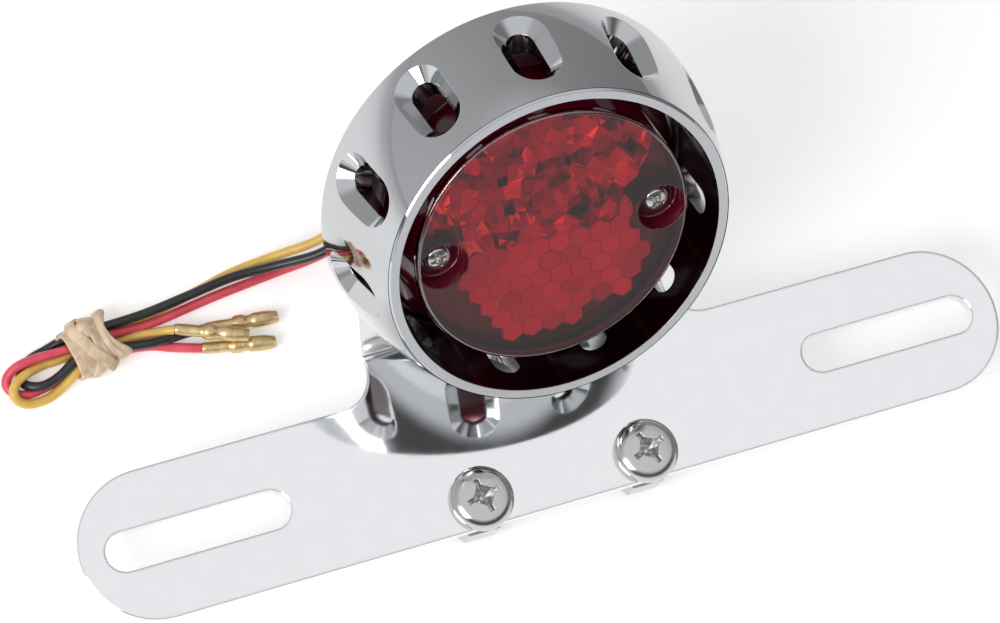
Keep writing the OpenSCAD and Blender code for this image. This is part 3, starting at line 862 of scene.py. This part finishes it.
def optic_tones(rng, centres, upper):
    """A tone from 0 to 1 for each of a cell's 18 faces: 12 on its sides, then 6 on its table. The stones vary
    much and the buttons little, a few faces of the stones get painted glints, the buttons' left and lower
    sides get painted shade, and the dark stones are near 0."""
    count = len(centres)
    own = rng.uniform(-0.5, 0.5, (count, 1))
    side = rng.uniform(-0.5, 0.5, (count, 6))
    split = rng.uniform(-0.12, 0.12, (count, 12))
    each = np.concatenate([side, side, 0.5 * side], 1) + np.concatenate([split, 0 * side], 1)
    # painted shade: the buttons' sides facing left and down are darker
    button_side_shade = np.tile([0.0, -0.02, -0.08, -0.14, -0.1, 0.0], 2)
    tone = np.where(
        upper[:, None],
        0.5 + 0.34 * own + 0.38 * each,
        0.6 + 0.1 * own + np.concatenate([button_side_shade, np.zeros(6)]) + 0.05 * each,
    )
    patch = np.sin(centres[:, 0] * 0.31 + 1.0) * np.cos(centres[:, 1] * 0.37 - 0.6)
    shade = 0.1 * patch - 0.16 * np.clip((np.hypot(centres[:, 0], centres[:, 1]) - 21) / 5, 0, 1)
    tone = tone + np.where(upper, shade, 0.02 * patch)[:, None]
    # painted glints: about one face in twenty on the upper stones is set bright
    painted_glint = upper[:, None] & (rng.uniform(0, 1, (count, 18)) < 0.05)
    tone = np.where(painted_glint, 0.9, tone)
    away = np.min([np.hypot(centres[:, 0] - x, centres[:, 1] - y) for x, y in DARK_STONES], 0)
    on_table = np.arange(18) >= 12
    dark = np.where(on_table, 0.03, tone * 0.62)
    return np.where((away < DARK_STONE_R)[:, None], dark, tone).clip(0, 1).astype(np.float32)


def lens_cells():
    """Reflex optics behind the lens's face, one open sheet of flat faces, each with its tone."""
    rng = np.random.default_rng(7)
    centres, upper = optic_cells()
    points = optic_points(rng, centres, upper)
    k = np.arange(6)
    n = (k + 1) % 6
    sides = np.stack([k, n, n + 6, k + 6], -1)
    table = np.stack([k + 6, n + 6, 0 * k + 12], -1)
    cell = np.concatenate([sides[:, [0, 1, 2]], sides[:, [0, 2, 3]], table])
    faces = (np.arange(len(centres)) * 13)[:, None, None] + cell
    placed = on_lamp(points.reshape(-1, 3))
    piece = mesh_object("lens_facets", placed, faces, FACETS, smooth=False, corners=3)
    tone = optic_tones(rng, centres, upper)
    piece.data.attributes.new("tone", "FLOAT", "FACE").data.foreach_set("value", tone.ravel())
    return piece


add(lens_cells(), "red_lens")


def wells_out(points, faces):
    """Leaves out the quads whose middle lies over a screw well."""
    return faces[clear_of_wells(points.reshape(-1, 3)[faces].mean(1), 0)]


def warped_disc(radius, height, steps=240, rows=90):
    """A flat disc on a polar grid. Points near a well's edge are drawn onto that edge."""
    a = np.arange(steps) * TAU / steps
    r = np.linspace(radius, 0.02, rows)[:, None]
    x, y = r * np.cos(a), r * np.sin(a)
    for side in (-1, 1):
        dx = x - side * WELL_X
        away = np.hypot(dx, y)
        near = (np.abs(away - WELL_R) < 0.26) & (np.hypot(x, y) < radius - 0.05)
        pull = np.where(near, WELL_R / np.maximum(away, 0.01), 1)
        x, y = side * WELL_X + dx * pull, y * pull
    points = np.stack([x, y, height + 0 * x], -1)
    return points, wells_out(points, grid_faces(rows, steps))


def lens_skin():
    """The clear front of the lens."""
    points, faces = warped_disc(LENS_R - 0.8, LENS_TOP)
    return mesh_object("lens_face", on_lamp(points.reshape(-1, 3)), faces, LENS_SKIN)


def depth_shade_sheet():
    """A dark wine sheet behind the optics, painted shade for the dark depth of the lamp."""
    # painted shade: a dark sheet closes the lens behind its optics
    points, faces = warped_disc(LENS_R - 0.6, DEPTH_SHADE_H)
    return mesh_object("lens_depth_shade", on_lamp(points.reshape(-1, 3)), faces, LENS_WINE)


def lens_body():
    """The lens's side and flange: a profile turned round the axis, from the face's edge to the flange."""
    profile = np.vstack([
        [(LENS_R - 1.2, LENS_TOP - 1.3), (LENS_R - 0.1, LENS_TOP - 1.2)],
        [(LENS_R, LENS_TOP - 1.3), (LENS_R, FLANGE_TOP + 0.5)],
        arc((LENS_R + 0.5, FLANGE_TOP + 0.5), 0.5, 180, 270),
        [(FLANGE_R - 0.2, FLANGE_TOP), (FLANGE_R, FLANGE_TOP - 0.2), (FLANGE_R, FLANGE_LOW)],
        [(LENS_R - LENS_WALL, FLANGE_LOW), (LENS_R - LENS_WALL, DEPTH_SHADE_H)],
    ])
    points, faces = revolve(profile[::-1], 192)
    return mesh_object("lens_side", on_lamp(points.reshape(-1, 3)), faces, LENS_WINE)


def lens_edge():
    """Rounded edge between the face and the side: a quarter turn of 0.8 mm, turned round the axis."""
    profile = np.vstack([[(LENS_R, LENS_TOP - 1.4)], arc((LENS_R - 0.8, LENS_TOP - 0.8), 0.8, 0, 90, 12)])
    points, faces = revolve(profile, 192)
    return mesh_object("lens_edge", on_lamp(points.reshape(-1, 3)), faces, EDGE_SKIN)


def lens_wells():
    """Each well: a small lip, a straight wall and a floor with the screw's hole."""
    profile = np.vstack([
        arc((WELL_R + 0.25, LENS_TOP - 0.25), 0.25, 90, 180),
        [(WELL_R, WELL_FLOOR + 0.5)],
        arc((WELL_R - 0.5, WELL_FLOOR + 0.5), 0.5, 0, -90),
        [(1.8, WELL_FLOOR)],
    ])
    points, faces = revolve(profile, 96)
    both = np.concatenate([points + [side * WELL_X, 0, 0] for side in (-1, 1)])
    rows, steps = points.shape[:2]
    faces = np.concatenate([faces, faces + rows * steps])
    return mesh_object("lens_wells", on_lamp(both.reshape(-1, 3)), faces, LENS_WINE)


add(lens_body(), "red_lens", "lens")
add(lens_skin(), "red_lens")
add(lens_edge(), "red_lens")
add(depth_shade_sheet(), "red_lens")
add(lens_wells(), "red_lens")

# ---- Screw heads ----

HEAD_STEPS = 240


def cross_head(radius, height, arm, half_width, turn):
    """Pan head with a cross recess, as a height over a polar grid: a dome, rounded over at its edge, less a
    pit. The pit is deepest in the middle. It is a star, |u|^0.7 + |w|^0.7 < arm^0.7, joined with four arms
    2 half_width across, and its walls are steep."""
    r = np.concatenate([np.linspace(radius, arm + 0.4, 30), np.linspace(arm + 0.3, 0.02, 64)])[:, None]
    a = np.arange(HEAD_STEPS) * TAU / HEAD_STEPS
    x, y = r * np.cos(a), r * np.sin(a)
    edge = np.clip((radius - r) / (0.3 * radius), 0, 1)
    dome = height * (1 - 0.3 * (r / radius) ** 2) * (0.42 + 0.58 * np.sqrt(1 - (1 - edge) ** 2)) + 0 * a
    u, w = x * math.cos(turn) + y * math.sin(turn), -x * math.sin(turn) + y * math.cos(turn)
    star = 1 - (np.abs(u) ** 0.7 + np.abs(w) ** 0.7) / arm ** 0.7
    pit = np.clip(star * 9, 0, 1) * (0.4 + 0.5 * np.clip(star * 1.4, 0, 1))
    for along, across in ((u, w), (w, u)):
        wall = np.clip((half_width - np.abs(across)) / 0.12, 0, 1)
        stop = np.clip((arm - np.abs(along)) / 0.25, 0, 1)
        pit = np.maximum(pit, wall * stop * (0.75 - 0.38 * np.abs(along) / arm))
    top = np.stack([x, y, dome - pit * height], -1)
    skirt = np.stack([radius * np.cos(a), radius * np.sin(a), 0 * a], -1)[None]
    return np.concatenate([skirt, top]), grid_faces(len(r) + 1, HEAD_STEPS)


def shank(radius, length, pitch, steps=48):
    """Threaded shank: the radius dips as |sin| along a helix of that pitch."""
    rows = int(length / pitch * 8)
    z = -np.linspace(0, length, rows)[:, None]
    a = np.arange(steps) * TAU / steps
    groove = np.abs(np.sin(math.pi * z / pitch - a / 2))
    taper = np.clip((length + z) / 0.8, 0.75, 1)
    r = (radius - 0.16 * radius * (1 - groove)) * taper
    points = np.stack([r * np.cos(a), r * np.sin(a), z + 0 * a], -1)
    tip = np.tile([0, 0, -length], (1, steps, 1))
    return np.concatenate([tip, points[::-1]]), grid_faces(rows + 1, steps)


def bracket_screws():
    """Two pan-head screws with their threaded shanks, heads up on the bracket's front face."""
    parts = []
    for (x, y), turn in zip(FENDER_SCREWS, (0.2, 0.36)):
        for points, faces in (cross_head(6.4, 3.6, 3.5, 0.5, turn), shank(3.05, 12.7, 1.27)):
            parts.append((points + [x, y, 0], faces))
    return mesh_object("bracket_screw_heads", *joined(parts), STEEL)


def lens_screws():
    """The heads of the two screws in the lens's wells."""
    parts = []
    for side, turn in ((-1, 0.3), (1, 1.0)):
        points, faces = cross_head(2.75, 2.1, 1.75, 0.3, turn)
        parts.append((on_lamp(points.reshape(-1, 3) + [side * WELL_X, 0, WELL_FLOOR]), faces))
    return mesh_object("lens_screw_heads", *joined(parts), STEEL)


add(bracket_screws(), "screw_steel", "bracket_screws")
add(lens_screws(), "screw_steel", "lens_screws")

# ---- Floor and light ----


def floor():
    """A pale bench under the part with a painted pool of light: its colour and glow are brightest at the part
    and in front of it, and greyer further back.
    """
    corners = np.array([(-3000, -3000), (3000, -3000), (3000, 3000), (-3000, 3000)])
    points = np.concatenate([corners, np.full((4, 1), BENCH_Z - 0.05)], 1)

    def pale(sheet):
        away = sheet.make("ShaderNodeVectorMath", {0: place(sheet)}, out=1, operation="LENGTH")
        behind = sheet.make("ShaderNodeSeparateXYZ", {0: place(sheet)}, out=1).ramp(-0.5, 0.1)
        # painted pool of light: colour and glow fall off away from the part and behind it
        light_falloff = away.ramp(0.16, 0.75) * (0.25 + behind * 0.75)
        return {
            "Base Color": light_falloff.blend((0.88, 0.88, 0.88), (0.55, 0.55, 0.56)),
            "Emission Color": light_falloff.blend((1, 1, 1), (0.45, 0.45, 0.45)),
            "Roughness": noise(sheet, 40, 3) * 0.1 + 0.85,
        }

    piece = mesh_object("bench", points, [[0, 1, 2, 3]], smooth=False,
                        material=material("pale_bench", pale, Emission_Strength=0.3))
    piece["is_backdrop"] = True


def softbox(name, place_mm, aim_mm, size, power):
    """A rectangular area light, sized in metres, that faces the point it is aimed at."""
    data = bpy.data.lights.new(name, "AREA")
    data.shape = "RECTANGLE"
    data.size, data.size_y = size
    data.energy = power
    lamp = bpy.data.objects.new(name, data)
    away = np.array(place_mm, float) - np.array(aim_mm, float)
    back = away / np.linalg.norm(away)
    right = np.cross((0, 1, 0.01), back)
    right /= np.linalg.norm(right)
    turn = np.eye(4)
    turn[:3, 0], turn[:3, 1], turn[:3, 2] = right, np.cross(back, right), back
    turn[:3, 3] = np.array(place_mm) * MM
    lamp.matrix_world = Matrix(turn.tolist())
    bpy.context.scene.collection.objects.link(lamp)


def studio():
    """A grey room. With (x, y, z) the direction looked in, the walls are 0.46 - 0.2 x. The front wall is
    0.9 low down and 0.1 above that, and the ceiling takes over as z goes from 0.5 to 0.88."""
    world = bpy.data.worlds.new("studio")
    bpy.context.scene.world = world
    world.use_nodes = True
    tree = world.node_tree
    look = Shade(tree).make("ShaderNodeTexCoord", out=0)
    x, y, z = (look.make("ShaderNodeSeparateXYZ", {0: look}, out=k) for k in range(3))
    front = (-1 * y).ramp(0.05, 0.5)
    walls = (0.46 - x * 0.2) * (1 - front) + (0.9 - z.ramp(0.1, 0.3) * 0.8) * front
    ceiling = z.ramp(0.5, 0.88)
    level = walls * (1 - ceiling) + ceiling * 0.88
    grey = level.make("ShaderNodeCombineColor", {0: level * 0.985, 1: level * 0.995, 2: level * 1.01})
    tree.links.new(grey.socket, tree.nodes["Background"].inputs["Color"])
    tree.nodes["Background"].inputs["Strength"].default_value = 1.0


floor()
studio()
softbox("key", (-950, -350, 800), (0, 20, 0), (0.7, 0.7), 9.0)
bpy.context.scene.view_settings.view_transform = "Standard"

visual_box = [list(corner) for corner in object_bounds()]
({"cad": [[float(c) for c in corner] for corner in cad_box],
           "visual": [[float(c) for c in corner] for corner in visual_box]})
